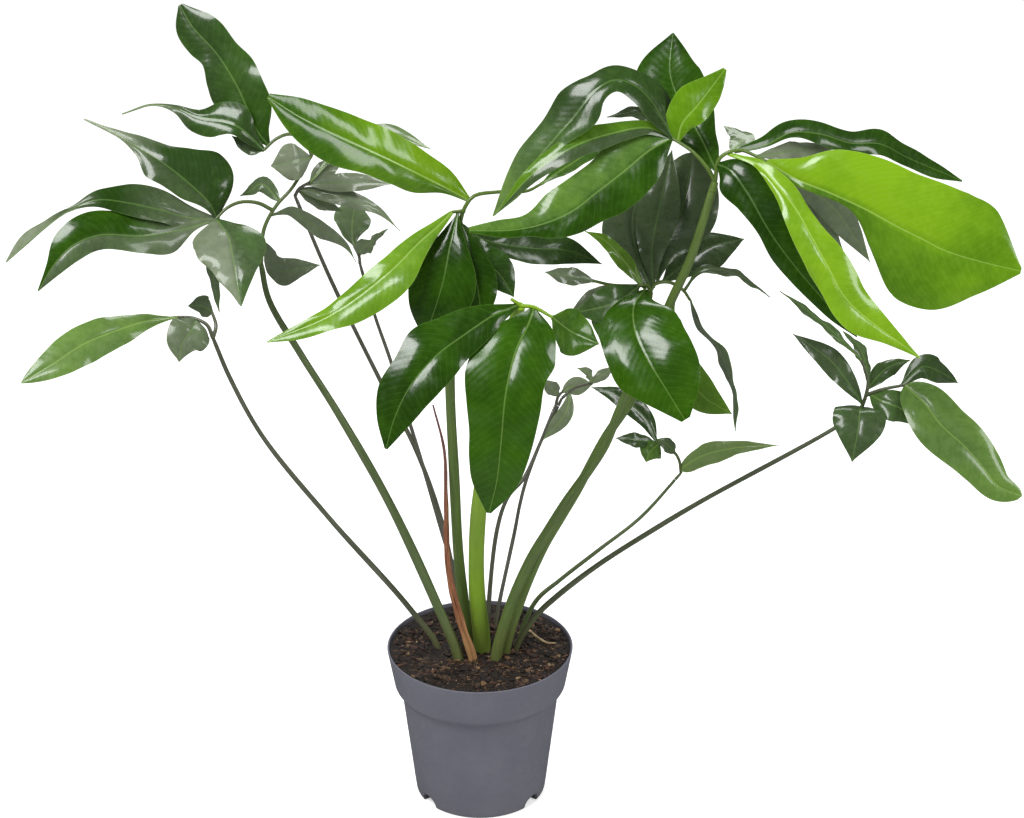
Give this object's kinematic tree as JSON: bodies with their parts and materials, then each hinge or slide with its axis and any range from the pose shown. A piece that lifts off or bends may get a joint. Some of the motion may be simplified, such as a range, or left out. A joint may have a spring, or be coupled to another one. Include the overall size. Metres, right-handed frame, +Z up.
{
  "type": "potted green wonder philodendron",
  "caption": "Potted philodendron: long-stalked compound leaves with pointed glossy leaflets fan out from a round nursery pot filled with soil.",
  "frame": {"origin": "middle of the pot's flat underside, on the surface it stands on", "axes": "+Z up the pot's axis, -Y towards the front of the plant, +X to the right as seen from the front"},
  "size_m": [0.9711, 0.5014, 0.8419],
  "materials": {
    "pot_plastic": "matt",
    "soil": "matt",
    "stalk": "satin",
    "leaf": "gloss",
    "dry_sheath": "matt"
  },
  "bodies": {
    "root": {"pot": "pot_plastic", "soil": "soil", "dry_sheath": "dry_sheath", "stalk_a": "stalk", "stalk_b": "stalk", "stalk_c": "stalk", "stalk_d": "stalk", "stalk_e": "stalk", "stalk_f": "stalk", "stalk_g": "stalk", "stalk_h": "stalk", "stalk_j": "stalk", "stalk_k": "stalk", "stalk_l": "stalk", "stalk_m": "stalk", "leaf_a": "leaf", "leaf_b": "leaf", "leaf_c": "leaf", "leaf_d": "leaf", "leaf_e": "leaf", "leaf_f": "leaf", "leaf_g": "leaf", "leaf_h": "leaf", "leaf_j": "leaf", "leaf_k": "leaf", "leaf_l": "leaf", "leaf_m": "leaf"}
  },
  "joints": []
}
